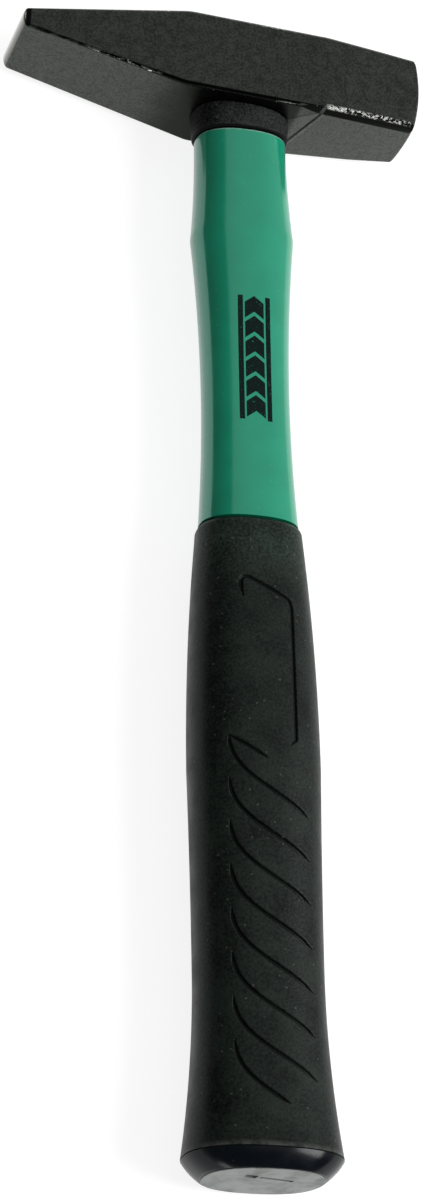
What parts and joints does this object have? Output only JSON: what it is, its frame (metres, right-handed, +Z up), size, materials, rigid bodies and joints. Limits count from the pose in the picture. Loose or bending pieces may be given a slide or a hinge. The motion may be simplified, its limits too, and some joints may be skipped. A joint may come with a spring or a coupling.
{
  "type": "machinist hammer",
  "caption": "Cross-peen machinist hammer with a black forged head, a green fibreglass-cored handle and a soft black grip with moulded grooves.",
  "frame": {"origin": "centre of the bounding box in X and Y, on the ground plane that the hammer lies on, under its butt", "axes": "+Y along the handle from the butt to the head, -X towards the peen and +X towards the striking face, +Z up out of the upper cheek"},
  "size_m": [0.1058, 0.3012, 0.0264],
  "materials": {
    "black_paint": "black paint with a fine grain, bare steel on the nose and on the face",
    "resin": "amber casting resin",
    "glass_fibre": "pale glass-fibre rod with its strands along its length",
    "collar_rubber": "black, matt",
    "green_plastic": "bottle-green, glossy",
    "grip_rubber": "black, matt and finely grained",
    "gloss_black": "black, glossy",
    "pale_plastic": "pale grey, satin"
  },
  "bodies": {
    "root": {"hammer_head": "black_paint", "eye_resin": "resin", "fibreglass_rod": "glass_fibre", "neck_collar": "collar_rubber", "handle_jacket": "green_plastic", "grip_sleeve": "grip_rubber", "butt_cap": "gloss_black", "end_plate": "pale_plastic"}
  },
  "joints": []
}
